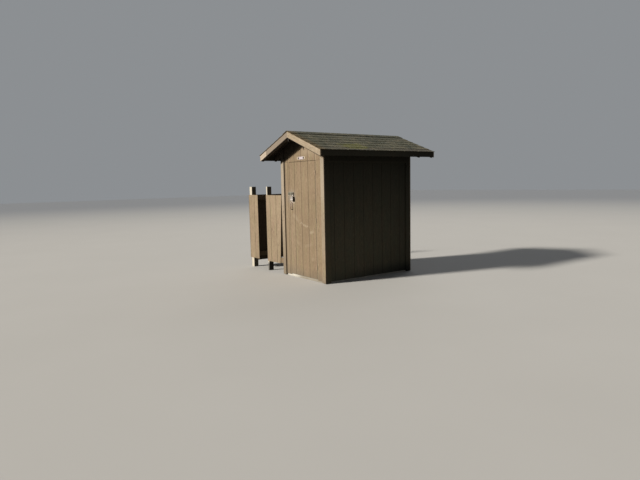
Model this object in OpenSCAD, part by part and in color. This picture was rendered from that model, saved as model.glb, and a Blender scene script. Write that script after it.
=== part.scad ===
// A small gable-roofed outhouse of stud walls clad in grooved plywood siding,
// with a plank-backed door in the front gable wall and a chest-high privacy
// screen of the same siding beside it.
// Millimetres. The origin is at ground level under the middle of the building.
// The door wall faces -Y, the ridge runs along Y and the screen stands at -X.

/* [Wall frame] */
// Width of the wall frame over the studs, across the door wall
frame_w = 1219; // [1160:1:1500]
// Length of the wall frame over the studs, along the ridge
frame_l = 1829; // [1500:1:2400]
// Height of the wall frame from the slab to the top of the top plates
wall_h = 2095; // [2065:1:2300]
// Thickness of the studs, plates and rafters
stud_t = 38; // [32:1:45]
// Depth of the studs, plates and rafters
stud_d = 89; // [80:1:120]
// Widest spacing of the side wall studs and of the rafters
stud_spacing = 610; // [400:1:650]
// Thickness of the concrete floor slab that shows above the ground
slab_t = 40; // [25:1:120]

/* [Siding] */
// Thickness of the grooved plywood sheets
siding_t = 9; // [8:0.5:16]
// Distance from one groove to the next
groove_pitch = 203.2; // [120:0.1:300]
// Width of a groove at the face
groove_w = 9.5; // [6:0.5:14]
// Depth of a groove
groove_d = 3; // [1.5:0.5:4]
// Place of one groove on the door wall, from the middle of the wall
front_groove_x = -31; // [-100:1:100]
// Distance of the first side wall groove from the front edge of its sheet
side_groove_in = 187; // [100:1:200]
// Which side wall groove is the lapped joint of two sheets
joint_groove = 6; // [3:1:6]
// Height of the siding's lower edge above the ground
siding_up = 28; // [10:1:38]

/* [Trim] */
// Thickness of the corner, frieze, rake and fascia boards
trim_t = 19; // [15:1:25]
// Width of the corner, rake and fascia boards
trim_w = 89; // [70:1:120]
// Width of the frieze boards under the eaves
frieze_w = 172; // [90:1:240]
// Length of the short end piece on the front left rake, along the slope
rake_tail_l = 225; // [100:1:400]

/* [Roof] */
// Slope of the roof in degrees
roof_pitch = 20.5; // [15:0.5:30]
// Reach of the eaves beyond the corner boards
eave_out = 270; // [150:1:320]
// Reach of the gable overhangs beyond the corner boards
rake_out = 276; // [120:1:400]
// Distance that the roof stands back from the middle of the building
roof_back = 26; // [0:1:60]
// Thickness of the ridge board
ridge_t = 19; // [16:1:38]
// Depth of the ridge board
ridge_d = 140; // [110:1:185]
// Thickness of the plywood roof deck
deck_t = 12; // [9:1:19]
// Length of roof that one course of shingles shows
shingle_course = 140; // [110:1:200]
// Thickness of a shingle course at its lower edge
shingle_t = 8; // [5:0.5:14]
// Reach of the shingles past the deck on all sides
shingle_out = 10; // [5:1:25]
// Width of the ridge cap on each side of the ridge
cap_w = 130; // [90:1:135]
// Thickness of the ridge cap
cap_t = 5; // [3:0.5:9]

/* [Door] */
// Width of the door leaf
door_w = 780; // [650:1:850]
// Height of the door leaf
door_h = 1914; // [1750:1:1975]
// Gap round the door leaf
door_gap = 6; // [5.5:0.5:9]
// Thickness of the jamb boards
jamb_t = 19; // [15:1:25]
// Thickness of the boards on the back of the door
door_board_t = 19; // [15:1:25]
// Width of the boards on the back of the door
door_board_w = 89; // [70:1:120]
// Width of the door stops
stop_w = 16; // [10:1:25]
// Thickness of the door stops
stop_t = 19; // [10:1:25]

/* [Door hardware] */
// Length of a butt hinge
hinge_l = 76; // [60:1:120]
// Distance of the end hinges from the ends of the leaf
hinge_in = 150; // [90:1:300]
// Outer radius of a hinge knuckle
knuckle_r = 5.5; // [5:0.5:8]
// Radius of a hinge pin
pin_r = 3; // [2:0.5:3.5]
// Height of the sliding bolt above the ground
bolt_z = 1432; // [1425:1:1500]
// Length of the bolt's base plate
bolt_plate_l = 120; // [100:1:160]
// Height of the bolt's base plate
bolt_plate_h = 52; // [44:1:60]
// Radius of the bolt
bolt_r = 6; // [4:0.5:7]
// Width of the padlock's body
lock_w = 74; // [56:1:80]
// Height of the padlock's body
lock_h = 70; // [50:1:75]
// Thickness of the padlock's body
lock_t = 38; // [24:1:40]
// Height of the middle of the pull handle above the ground
pull_z = 1221; // [1000:1:1230]
// Distance between the feet of the pull handle
pull_span = 118; // [90:1:130]
// Reach of the pull handle from the door
pull_reach = 36; // [32:1:50]
// Distance of the pull handle from the free edge of the door
pull_in = 73; // [60:1:140]
// Width of the pull handle's back plate
pull_plate_w = 36; // [24:1:60]

/* [Privacy screen] */
// Height of the top of the screen panels above the ground
screen_top = 1400; // [1250:1:1600]
// Height of the screen panels
screen_h = 1220; // [1000:1:1240]
// Reach of the screen from the corner of the building
screen_out = 1232; // [1150:1:1500]
// Depth of the side panel, along the ridge
screen_depth = 1219; // [700:1:1500]
// Amount that the side panel hangs below the front panels
side_drop = 70; // [0:1:120]
// Amount that the outer front panel stands past the side panel
wing_lap = 20; // [0:1:45]
// Width of the outer front panel
wing_w = 350; // [200:1:380]
// Width of the inner front panel along its top
inner_w = 545; // [450:1:600]
// Amount that the inner front panel loses in width at its foot
inner_taper = 85; // [0:1:120]
// Slit between the inner front panel and the building, at the top
screen_slit = 13; // [5:1:40]
// Width of the two outer screen posts, and depth of all three
post_w = 89; // [80:1:140]
// Height of the posts above the screen panels
post_over = 155; // [50:1:300]
// Distance of the screen rails from the top and bottom edges of the panels
rail_in = 12; // [5:1:100]

/* [Hidden] */
$fn = 32;

// Colours
siding_colour = "#8d7a60";
trim_colour = "#93806a";
post_colour = "#cbbfa5";
frame_colour = "#b39b74";
deck_colour = "#a8906a";
shingle_colour = "#5c5f4e";
slab_colour = "#b9b3a4";
steel_colour = "#9a9d9c";
lock_colour = "#a7a294";

// Half sizes and heights of the wall frame
half_w = frame_w / 2;
half_l = frame_l / 2;
room_w = half_w - stud_d;
room_l = half_l - stud_d;
plate_top = slab_t + wall_h;
stud_bottom = slab_t + stud_t;
stud_top = plate_top - stud_t;
bays = ceil((frame_l - stud_t) / stud_spacing);
back_bays = 2;

// Outer faces of the siding and of the corner boards
face_x = half_w + siding_t;
face_y = half_l + siding_t;
corner_x = face_x + trim_t;
corner_y = face_y + trim_t;
groove_floor = 0.65 * groove_w;
lap_gap = 0.5;
trim_up = 8;
seam = 2;

// Doorway
door_bottom = slab_t + door_gap;
door_top = door_bottom + door_h;
head_z = door_top + door_gap;
way_half = door_w / 2 + door_gap;
jamb_out = way_half + jamb_t;
leaf_back = half_l - door_board_t;
door_mid = (door_bottom + door_top) / 2;
rail_spots = [door_bottom, door_mid - door_board_w / 2, door_top - door_board_w];
rail_half = door_w / 2 - door_board_w;
brace_rise = 1.3 * door_board_w;
stop_clear = 5;
stop_gap = 1;

// Roof lines, as heights over a distance x from the ridge
slope = tan(roof_pitch);
plumb = 1 / cos(roof_pitch);
fascia_x = corner_x + eave_out;
tail_x = fascia_x - trim_t;
rake_y = corner_y + rake_out;
fly_y = rake_y - trim_t;
deck_gap = 1.5;
under = 1;
seat = 0.2;
ridge_top = rafter_top(ridge_t / 2);
ridge_bottom = ridge_top - ridge_d;
ridge_slot = ridge_t / 2 + 0.5;
slope_len = fascia_x * plumb;
shingle_thin = 3;
course_count = ceil((slope_len + shingle_out) / shingle_course);
rake_joint_x = fascia_x - rake_tail_l * cos(roof_pitch);
rake_joint_gap = 1.5;

// Hinges
hinge_x = way_half - door_gap / 2;
knuckle_out = 1;
hinge_y = -face_y - knuckle_r - knuckle_out;
leaf_gap = 1.6;
leaf_back_y = 36;
knuckles = 5;
knuckle_gap = 0.4;
pin_clear = 0.05;
hinge_heights = [
  door_bottom + hinge_in,
  (door_bottom + door_top - hinge_l) / 2,
  door_top - hinge_in - hinge_l
];

// Sliding bolt and padlock
plate_t = 2.5;
bolt_edge_in = 6;
plate_x0 = -door_w / 2 + bolt_edge_in;
plate_x1 = plate_x0 + bolt_plate_l;
loop_w = 14;
loop_t = 3;
bolt_clear = 0.4;
bolt_rise = 2;
bolt_y = -face_y - plate_t - bolt_r - bolt_rise;
bolt_over = 4;
handle_w = 14;
handle_t = 3;
handle_drop = 34;
keeper_gap = 6;
keeper_w = 26;
staple_r = 2.5;
staple_span = 18;
staple_reach = 33;
staple_in = 20;
staple_drop = 20;
staple_x = plate_x1 - staple_in;
staple_z = bolt_z - staple_drop;
shackle_r = 4.5;
shackle_in = 16;
shackle_leg = 7;
shackle_in_body = 10;
lock_seat = 0.2;
lock_corner = 12;
lock_rise = 1.5;
lock_y = -face_y - lock_t / 2 - lock_rise;
pull_x = -door_w / 2 + pull_in;
pull_r = 6.5;
pull_bend = 14;
pull_plate_over = 20;

// Privacy screen
screen_x = -corner_x - screen_out;
screen_bottom = screen_top - screen_h;
post_y = -corner_y + siding_t;
inner_x1 = -corner_x - screen_slit;
inner_x0 = inner_x1 - inner_w;
outer_post_x = screen_x + wing_lap + siding_t;
back_post_y = post_y + screen_depth - post_w;
screen_bars = [screen_bottom + rail_in, screen_top - rail_in - stud_d];

function bay_y(i) = -half_l + stud_t / 2 + i * (frame_l - stud_t) / bays;
function back_x(i) = -room_w + stud_t / 2 + i * (2 * room_w - stud_t) / back_bays;
function rafter_under(x) = plate_top - (x - room_w) * slope;
function rafter_top(x) = rafter_under(x) + stud_d * plumb;
function deck_under(x) = rafter_top(x) + seat;
function deck_top(x) = deck_under(x) + deck_t * plumb;
// A point s down the slope from the ridge and t above the deck
function on_roof(s, t) = [
  s * cos(roof_pitch) + t * sin(roof_pitch),
  deck_top(0) - s * sin(roof_pitch) + t * cos(roof_pitch)
];

// A box from its lowest corner to its highest one
module box(low, high) {
  translate(low) cube(high - low);
}

// An outline in X and Z, made solid from y0 to y1
module along_y(y0, y1) {
  translate([0, y1, 0]) rotate([90, 0, 0]) linear_extrude(y1 - y0) children();
}

// The same shape on both sides of the ridge
module both_sides() {
  children();
  mirror([1, 0, 0]) children();
}

// The same shape at both ends of the building
module both_ends() {
  children();
  mirror([0, 1, 0]) children();
}

// Cross-section of a grooved sheet: outer face at -siding_t, back at 0
module sheet_section(u0, u1, first) {
  low = ceil((u0 + groove_w - first) / groove_pitch);
  high = floor((u1 - groove_w - first) / groove_pitch);
  difference() {
    translate([u0, -siding_t]) square([u1 - u0, siding_t]);
    for (k = [low:1:high]) translate([first + k * groove_pitch, -siding_t]) groove_section();
  }
}

// A groove with splayed sides
module groove_section() {
  polygon([
    [-groove_w / 2, -1],
    [-groove_w / 2, 0],
    [-groove_floor / 2, groove_d],
    [groove_floor / 2, groove_d],
    [groove_w / 2, 0],
    [groove_w / 2, -1]
  ]);
}

module sheet(u0, u1, z0, z1, first) {
  translate([0, 0, z0]) linear_extrude(z1 - z0) sheet_section(u0, u1, first);
}

// Two sheets whose edges lap at the groove of the joint
module lapped_sheets(u0, u1, z0, z1, first) {
  joint = first + (joint_groove - 1) * groove_pitch;
  edge = groove_w / 2;
  lip = 1.5 * groove_w;
  ply = (siding_t - lap_gap) / 2;
  translate([0, 0, z0]) linear_extrude(z1 - z0) {
    difference() {
      sheet_section(u0, joint + lip, first);
      translate([joint - edge, -siding_t - 1]) square([lip + edge + 1, siding_t + 1 - ply]);
    }
    difference() {
      sheet_section(joint + edge, u1, first);
      translate([joint, -ply - lap_gap]) square([lip + lap_gap, ply + lap_gap + 1]);
    }
  }
}

// Cuts siding to the slope under the roof deck and round the ridge board
module under_deck() {
  intersection() {
    children();
    along_y(-rake_y, rake_y) polygon([
      [-fascia_x, 0],
      [fascia_x, 0],
      [fascia_x, rafter_top(fascia_x) - under],
      [ridge_slot, rafter_top(ridge_slot) - under],
      [ridge_slot, ridge_bottom - under],
      [-ridge_slot, ridge_bottom - under],
      [-ridge_slot, rafter_top(ridge_slot) - under],
      [-fascia_x, rafter_top(fascia_x) - under]
    ]);
  }
}

// A rod bent to a U in the XY plane: legs along +X, span along Y
module bent_rod(span, reach, r, bend) {
  for (side = [0, 1]) mirror([0, side, 0]) {
    translate([0, span / 2, 0]) rotate([0, 90, 0]) cylinder(r = r, h = reach - bend);
    translate([reach - bend, span / 2 - bend, 0])
      rotate_extrude(angle = 90) translate([bend, 0]) circle(r);
  }
  if (span > 2 * bend)
    translate([reach, bend - span / 2, 0]) rotate([-90, 0, 0]) cylinder(r = r, h = span - 2 * bend);
}

// The same rod standing out of the door wall, its legs one over the other
module wall_rod(span, reach, r, bend) {
  rotate([90, 0, -90]) bent_rod(span, reach, r, bend);
}

// A square with round corners, centred
module round_square(w, h, r) {
  square([w - 2 * r, h], center = true);
  square([w, h - 2 * r], center = true);
  for (x = [-1, 1], y = [-1, 1]) translate([x * (w / 2 - r), y * (h / 2 - r)]) circle(r);
}

// Floor and wall frame

module floor_slab() {
  color(slab_colour) box([-half_w, -half_l, 0], [half_w, half_l, slab_t]);
}

module side_sill_plates() {
  color(frame_colour) both_sides()
    box([room_w, -half_l, slab_t], [half_w, half_l, stud_bottom]);
}

module end_sill_plates() {
  color(frame_colour) {
    box([-room_w, room_l, slab_t], [room_w, half_l, stud_bottom]);
    both_sides() box([jamb_out, -half_l, slab_t], [room_w, -room_l, stud_bottom]);
  }
}

module side_wall_studs() {
  color(frame_colour) both_sides() for (i = [0:bays])
    box([room_w, bay_y(i) - stud_t / 2, stud_bottom], [half_w, bay_y(i) + stud_t / 2, stud_top]);
}

// Studs of the back wall, beside and over the door, and in both gables
module end_wall_studs() {
  color(frame_colour) {
    for (i = [0:back_bays])
      box([back_x(i) - stud_t / 2, room_l, stud_bottom], [back_x(i) + stud_t / 2, half_l, stud_top]);
    both_sides() box([jamb_out, -half_l, stud_bottom], [jamb_out + stud_t, -room_l, head_z]);
    for (i = [0:back_bays])
      box([back_x(i) - stud_t / 2, -half_l, head_z + stud_t], [back_x(i) + stud_t / 2, -room_l, stud_top]);
    both_ends() gable_stud();
  }
}

module gable_stud() {
  along_y(-half_l, -half_l + stud_t) polygon([
    [-stud_d / 2, plate_top],
    [stud_d / 2, plate_top],
    [stud_d / 2, ridge_bottom],
    [-stud_d / 2, ridge_bottom]
  ]);
}

module side_top_plates() {
  color(frame_colour) both_sides()
    box([room_w, -half_l, stud_top], [half_w, half_l, plate_top]);
}

module end_top_plates() {
  color(frame_colour) both_ends()
    box([-room_w, room_l, stud_top], [room_w, half_l, plate_top]);
}

module door_header() {
  color(frame_colour) box([-room_w, -half_l, head_z], [room_w, -room_l, head_z + stud_t]);
}

module door_jambs() {
  color(trim_colour) both_sides()
    box([way_half, -half_l, slab_t], [jamb_out, -room_l, head_z]);
}

// Strips that the closed door stops against, on both jambs and the header
module door_stops() {
  y0 = -leaf_back + stop_clear;
  inside = way_half - stop_w;
  color(trim_colour) {
    both_sides() box([inside, y0, slab_t], [way_half, y0 + stop_t, head_z]);
    box([-inside + stop_gap, y0, head_z - stop_w], [inside - stop_gap, y0 + stop_t, head_z]);
  }
}

// Siding

module side_siding() {
  top = rafter_under(face_x) - under;
  first = -face_y + side_groove_in;
  translate([half_w, 0, 0]) rotate([0, 0, 90])
    lapped_sheets(-face_y, face_y, siding_up, top, first);
}

module left_siding() {
  color(siding_colour) mirror([1, 0, 0]) side_siding();
}

module right_siding() {
  color(siding_colour) side_siding();
}

module back_siding() {
  color(siding_colour) under_deck() translate([0, half_l, 0]) rotate([0, 0, 180])
    sheet(-half_w, half_w, siding_up, rafter_top(0), front_groove_x);
}

module front_siding_left() {
  color(siding_colour) translate([0, -half_l, 0])
    sheet(-half_w, -way_half, siding_up, head_z - seam, front_groove_x);
}

module front_siding_right() {
  color(siding_colour) translate([0, -half_l, 0])
    sheet(way_half, half_w, siding_up, head_z - seam, front_groove_x);
}

module front_gable_siding() {
  color(siding_colour) under_deck() translate([0, -half_l, 0])
    sheet(-half_w, half_w, head_z, rafter_top(0), front_groove_x);
}

// Trim

module gable_corner_boards() {
  color(trim_colour) under_deck() both_ends() both_sides()
    box([corner_x - trim_w, -corner_y, trim_up], [corner_x, -face_y, rafter_top(0)]);
}

module side_corner_boards() {
  top = rafter_under(corner_x) - under;
  color(trim_colour) both_ends() both_sides()
    box([face_x, -face_y, trim_up], [corner_x, trim_w - face_y, top]);
}

module frieze_boards() {
  top = rafter_under(corner_x) - under;
  end = face_y - trim_w;
  color(trim_colour) both_sides()
    box([face_x, -end, top - frieze_w], [corner_x, end, top]);
}

// Roof

// Moves a piece of the roof back with it
module set_back() {
  translate([0, roof_back, 0]) children();
}

module ridge_board() {
  color(frame_colour) set_back()
    box([-ridge_t / 2, -fly_y, ridge_bottom], [ridge_t / 2, fly_y, ridge_top]);
}

// A rafter with its birdsmouth over the side wall's top plate
module common_rafter(y) {
  along_y(y - stud_t / 2, y + stud_t / 2) polygon([
    [ridge_t / 2, rafter_under(ridge_t / 2)],
    [room_w, plate_top],
    [half_w, plate_top],
    [half_w, rafter_under(half_w)],
    [tail_x, rafter_under(tail_x)],
    [tail_x, rafter_top(tail_x)],
    [ridge_t / 2, rafter_top(ridge_t / 2)]
  ]);
}

module common_rafters() {
  color(frame_colour) both_sides() for (i = [0:bays]) common_rafter(bay_y(i));
}

module fly_rafters() {
  color(frame_colour) set_back() both_ends() both_sides() along_y(-fly_y, stud_t - fly_y) polygon([
    [ridge_t / 2, rafter_under(ridge_t / 2)],
    [tail_x, rafter_under(tail_x)],
    [tail_x, rafter_top(tail_x)],
    [ridge_t / 2, rafter_top(ridge_t / 2)]
  ]);
}

// Blocks that close the gap over the side walls between the rafters
module eave_blocking() {
  inner = half_w - stud_t;
  color(frame_colour) both_sides() for (i = [0:bays - 1])
    along_y(bay_y(i) + stud_t / 2, bay_y(i + 1) - stud_t / 2) polygon([
      [inner, plate_top],
      [half_w, plate_top],
      [half_w, rafter_top(half_w)],
      [inner, rafter_top(inner)]
    ]);
}

// The fascia and rake boards cover the edges of the roof deck
module fascia_boards() {
  color(trim_colour) set_back() both_sides() along_y(-fly_y, fly_y) polygon([
    [tail_x, deck_top(fascia_x) - trim_w],
    [fascia_x, deck_top(fascia_x) - trim_w],
    [fascia_x, deck_top(fascia_x)],
    [tail_x, deck_top(tail_x)]
  ]);
}

// A board along the front right rake between two distances from the ridge
module rake_board(x0, x1) {
  drop = trim_w * plumb;
  along_y(-rake_y, -fly_y) polygon([
    [x0, deck_top(x0) - drop],
    [x1, deck_top(x1) - drop],
    [x1, deck_top(x1)],
    [x0, deck_top(x0)]
  ]);
}

module left_rake_boards() {
  color(trim_colour) set_back() mirror([1, 0, 0]) {
    rake_board(0, rake_joint_x - rake_joint_gap);
    mirror([0, 1, 0]) rake_board(0, fascia_x);
  }
}

module right_rake_boards() {
  color(trim_colour) set_back() both_ends() rake_board(0, fascia_x);
}

module front_left_rake_tail() {
  color(trim_colour) set_back() mirror([1, 0, 0]) rake_board(rake_joint_x, fascia_x);
}

module roof_deck() {
  color(deck_colour) set_back() both_sides() along_y(-fly_y, fly_y) polygon([
    [deck_gap, deck_under(deck_gap)],
    [tail_x, deck_under(tail_x)],
    [tail_x, deck_top(tail_x)],
    [deck_gap, deck_top(deck_gap)]
  ]);
}

// One side of the roof covering: each course is thick at its lower edge
module shingle_slope() {
  end = slope_len + shingle_out;
  top = [for (k = [0:course_count - 1])
    let (s1 = end - k * shingle_course, s0 = max(s1 - shingle_course, 0))
      each [on_roof(s1, shingle_t), on_roof(s0, shingle_thin)]];
  reach = rake_y + shingle_out;
  intersection() {
    along_y(-reach, reach) polygon(concat([on_roof(0, seat), on_roof(end, seat)], top));
    box([deck_gap / 2, -reach, 0], [2 * fascia_x, reach, 2 * deck_top(0)]);
  }
}

module shingles_left() {
  color(shingle_colour) set_back() mirror([1, 0, 0]) shingle_slope();
}

module shingles_right() {
  color(shingle_colour) set_back() shingle_slope();
}

module ridge_cap() {
  reach = rake_y + shingle_out;
  low = on_roof(cap_w, shingle_t + seat);
  edge = on_roof(cap_w, shingle_t + seat + cap_t);
  crown = deck_top(0) + (shingle_t + seat) * plumb;
  color(shingle_colour) set_back() along_y(-reach, reach) polygon([
    [0, crown],
    low,
    edge,
    [0, crown + cap_t * plumb],
    [-edge.x, edge.y],
    [-low.x, low.y]
  ]);
}

// Hinges

module knuckle(k, bore) {
  each_l = hinge_l / knuckles;
  translate([0, 0, k * each_l + knuckle_gap / 2]) difference() {
    cylinder(r = knuckle_r, h = each_l - knuckle_gap);
    translate([0, 0, -1]) cylinder(r = bore, h = each_l + 2);
  }
}

// A hinge leaf on the +X side of its axis, with its own knuckles
module hinge_leaf(first, bore) {
  each_l = hinge_l / knuckles;
  near = knuckle_r + knuckle_out;
  box([leaf_gap / 2, near, 0], [door_gap / 2, leaf_back_y, hinge_l]);
  for (k = [first:2:knuckles - 1]) {
    z = k * each_l + knuckle_gap / 2;
    difference() {
      box([leaf_gap / 2, 0, z], [door_gap / 2, near, z + each_l - knuckle_gap]);
      translate([0, 0, z - 1]) cylinder(r = bore, h = each_l + 2);
    }
    knuckle(k, bore);
  }
}

module hinge_frame_leaves() {
  color(steel_colour) for (z = hinge_heights) translate([hinge_x, hinge_y, z]) {
    hinge_leaf(0, pin_r - 0.5);
    cylinder(r = pin_r, h = hinge_l);
  }
}

module hinge_door_leaves() {
  color(steel_colour) for (z = hinge_heights)
    translate([hinge_x, hinge_y, z]) mirror([1, 0, 0]) hinge_leaf(1, pin_r + pin_clear);
}

// Sliding bolt, padlock and pull handle

// A strap loop over the bolt, seated on its plate
module bolt_loop(x, r_in) {
  r_out = r_in + loop_t;
  translate([x, bolt_y, bolt_z]) rotate([0, 90, 0]) difference() {
    union() {
      cylinder(r = r_out, h = loop_w);
      translate([-r_out, 0, 0]) cube([2 * r_out, -face_y - plate_t - bolt_y, loop_w]);
    }
    translate([0, 0, -1]) cylinder(r = r_in, h = loop_w + 2);
  }
}

module bolt_plate() {
  y0 = -face_y - plate_t;
  color(steel_colour) {
    translate([(plate_x0 + plate_x1) / 2, -face_y, bolt_z]) rotate([90, 0, 0])
      linear_extrude(plate_t) round_square(bolt_plate_l, bolt_plate_h, 4);
    bolt_loop(plate_x0, bolt_r + bolt_clear);
    bolt_loop(plate_x1 - loop_w, bolt_r + bolt_clear);
    translate([staple_x, y0, staple_z])
      wall_rod(staple_span, staple_reach, staple_r, staple_span / 2);
    translate([staple_x, -face_y, staple_z]) rotate([90, 0, 0])
      linear_extrude(plate_t) round_square(loop_w, staple_span + 4 * staple_r, 3);
  }
}

module bolt_bar() {
  x0 = plate_x0 - bolt_over;
  x1 = plate_x1 + bolt_over;
  grip = (plate_x0 + plate_x1) / 2 - handle_w;
  color(steel_colour) {
    translate([x0, bolt_y, bolt_z]) rotate([0, 90, 0]) cylinder(r = bolt_r, h = x1 - x0);
    box([grip, bolt_y - handle_t / 2, bolt_z - bolt_r - handle_drop],
        [grip + handle_w, bolt_y + handle_t / 2, bolt_z]);
  }
}

// Loop on the wall beside the door that takes the end of the bolt
module bolt_keeper() {
  x1 = -way_half - keeper_gap;
  color(steel_colour) {
    translate([x1 - keeper_w / 2, -face_y, bolt_z]) rotate([90, 0, 0])
      linear_extrude(plate_t) round_square(keeper_w, bolt_plate_h, 4);
    bolt_loop(x1 - (keeper_w + loop_w) / 2, bolt_r + bolt_clear);
  }
}

module padlock() {
  bar_top = staple_z - staple_span / 2 + staple_r;
  bend = shackle_in + shackle_r;
  crown = bar_top + lock_seat - shackle_in;
  body_top = crown - shackle_leg;
  color(lock_colour) {
    translate([staple_x, lock_y + lock_t / 2, body_top - lock_h / 2]) rotate([90, 0, 0])
      linear_extrude(lock_t) round_square(lock_w, lock_h, lock_corner);
    translate([staple_x, lock_y, body_top - shackle_in_body]) rotate([0, -90, -90])
      bent_rod(2 * bend, crown + bend - body_top + shackle_in_body, shackle_r, bend);
  }
}

module pull_handle() {
  color(steel_colour) translate([pull_x, -face_y, pull_z]) {
    wall_rod(pull_span, pull_reach, pull_r, pull_bend);
    rotate([90, 0, 0])
      linear_extrude(plate_t) round_square(pull_plate_w, pull_span + 2 * pull_plate_over, 6);
  }
}

// Door leaf

module door_panel() {
  color(siding_colour) translate([0, -half_l, 0])
    sheet(-door_w / 2, door_w / 2, door_bottom, door_top, front_groove_x);
}

module door_stiles() {
  color(frame_colour) both_sides()
    box([door_w / 2 - door_board_w, -half_l, door_bottom], [door_w / 2, -leaf_back, door_top]);
}

module door_rails() {
  color(frame_colour) for (z = rail_spots)
    box([-rail_half, -half_l, z], [rail_half, -leaf_back, z + door_board_w]);
}

// Diagonal boards, each rising from the hinge side
module door_braces() {
  color(frame_colour) for (k = [0, 1]) {
    z0 = rail_spots[k] + door_board_w;
    z1 = rail_spots[k + 1];
    along_y(-half_l, -leaf_back) polygon([
      [rail_half, z0],
      [rail_half, z0 + brace_rise],
      [-rail_half, z1],
      [-rail_half, z1 - brace_rise]
    ]);
  }
}

// Privacy screen

// Two square posts on the outer side, and one on edge beside the gap
module screen_posts() {
  top = screen_top + post_over;
  color(post_colour) {
    for (y = [post_y, back_post_y])
      box([outer_post_x, y, 0], [outer_post_x + post_w, y + post_w, top]);
    box([inner_x0, post_y, 0], [inner_x0 + stud_t, post_y + post_w, top]);
  }
}

module screen_rails() {
  color(trim_colour) for (z = screen_bars) {
    box([inner_x0 + stud_t, post_y, z], [-corner_x, post_y + stud_t, z + stud_d]);
    box([outer_post_x, post_y + post_w, z], [outer_post_x + stud_t, back_post_y, z + stud_d]);
  }
}

module screen_wing_panel() {
  color(siding_colour) translate([0, post_y, 0])
    sheet(screen_x, screen_x + wing_w, screen_bottom, screen_top, front_groove_x);
}

// The sheet beside the building narrows towards its foot
module screen_inner_panel() {
  color(siding_colour) intersection() {
    translate([0, post_y, 0]) sheet(inner_x0, inner_x1, screen_bottom, screen_top, front_groove_x);
    along_y(post_y - 2 * siding_t, post_y + siding_t) polygon([
      [inner_x0, screen_bottom],
      [inner_x1 - inner_taper, screen_bottom],
      [inner_x1, screen_top],
      [inner_x0, screen_top]
    ]);
  }
}

module screen_side_panel() {
  color(siding_colour) translate([outer_post_x, 0, 0]) rotate([0, 0, -90])
    sheet(-post_y - screen_depth, -post_y, screen_bottom - side_drop, screen_top, -post_y - side_groove_in);
}

floor_slab();
side_sill_plates();
end_sill_plates();
side_wall_studs();
end_wall_studs();
side_top_plates();
end_top_plates();
door_header();
door_jambs();
door_stops();
left_siding();
right_siding();
back_siding();
front_siding_left();
front_siding_right();
front_gable_siding();
gable_corner_boards();
side_corner_boards();
frieze_boards();
ridge_board();
common_rafters();
fly_rafters();
eave_blocking();
fascia_boards();
left_rake_boards();
right_rake_boards();
front_left_rake_tail();
roof_deck();
shingles_left();
shingles_right();
ridge_cap();
hinge_frame_leaves();
bolt_keeper();
screen_posts();
screen_rails();
screen_wing_panel();
screen_inner_panel();
screen_side_panel();
door_panel();
door_stiles();
door_rails();
door_braces();
hinge_door_leaves();
bolt_plate();
bolt_bar();
padlock();
pull_handle();
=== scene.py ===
# %% [markdown]
# # A small wooden outhouse
#
# The real building is a hut of studs clad in grooved plywood, stained brown a
# long time ago, under a shingled gable roof. A privacy screen of the same
# plywood stands beside it. The walls, the frame, the roof and the door come
# from the construction model. This lesson gives them their weathered finishes,
# lays the shingles one tab at a time, and adds the nails, the screws and the
# plate over the door.

# %% Load the model of the construction
import bpy, bmesh, math
from mathutils import Matrix, Vector


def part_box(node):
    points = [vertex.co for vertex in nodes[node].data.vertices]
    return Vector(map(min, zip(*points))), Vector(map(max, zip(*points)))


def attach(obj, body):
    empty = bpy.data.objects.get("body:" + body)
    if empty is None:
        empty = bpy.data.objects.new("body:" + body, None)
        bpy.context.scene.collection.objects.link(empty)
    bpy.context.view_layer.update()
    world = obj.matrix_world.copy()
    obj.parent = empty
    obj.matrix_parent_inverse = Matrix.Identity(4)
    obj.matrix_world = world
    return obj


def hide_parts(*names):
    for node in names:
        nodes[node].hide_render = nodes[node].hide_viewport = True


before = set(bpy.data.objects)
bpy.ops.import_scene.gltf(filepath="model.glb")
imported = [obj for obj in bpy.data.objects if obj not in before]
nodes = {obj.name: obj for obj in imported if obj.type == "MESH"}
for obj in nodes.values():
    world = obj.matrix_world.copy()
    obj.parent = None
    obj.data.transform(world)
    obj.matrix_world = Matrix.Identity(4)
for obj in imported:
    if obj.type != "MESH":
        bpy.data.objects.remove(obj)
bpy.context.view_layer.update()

# %% [markdown]
# Every length is in metres: a 4 by 6 foot stud frame under a roof that slopes
# 20.5 degrees. What several cells share is written here once.

# %% Sizes that the pieces share
half_width, half_length = 0.6095, 0.9145  # stud frame
siding, trim = 0.009, 0.019  # thicknesses
wall_x, wall_y = half_width + siding, half_length + siding
corner_x, corner_y = wall_x + trim, wall_y + trim
side_screen_x, screen_face_y = -1.8495, -0.9425
pitch = math.radians(20.5)
ridge_gap = 0.003  # between the two halves of the deck
deck_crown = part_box("roof_deck")[1].z + ridge_gap / 2 * math.tan(pitch)
eave_s, rake_y = 0.9789, 1.2285  # edges of the shingles
roof_back = 0.026  # the roof's middle lies this far behind the walls'
hinge_x, bolt_z = 0.391, 1.432  # hinged edge of the door, height of the bolt
lock_x, lock_z = -0.335, 1.375  # middle of bolt and padlock together
pull_x, pull_z = -0.317, 1.221  # middle of the pull handle
print("wall faces at", wall_x, wall_y, "and the deck's crown at", round(deck_crown, 4))

# %% [markdown]
# ## Hands and tools
#
# Blender's operators act on what is selected, so each step starts by
# deselecting everything. `start_block` adds a cube at its size and place, and
# `Bench` opens edit mode on one piece and picks its faces, edges or points by
# a test on their place, as a hand would pick them with the mouse.

# %% Select, add and edit
def only(*pieces):
    bpy.ops.object.select_all(action="DESELECT")
    for piece in pieces:
        piece.select_set(True)
    if pieces:
        bpy.context.view_layer.objects.active = pieces[0]


def settle():
    """Writes place, turn and scale into the mesh, so that the object stands at the origin."""
    bpy.ops.object.transform_apply(location=True, rotation=True, scale=True)


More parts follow.
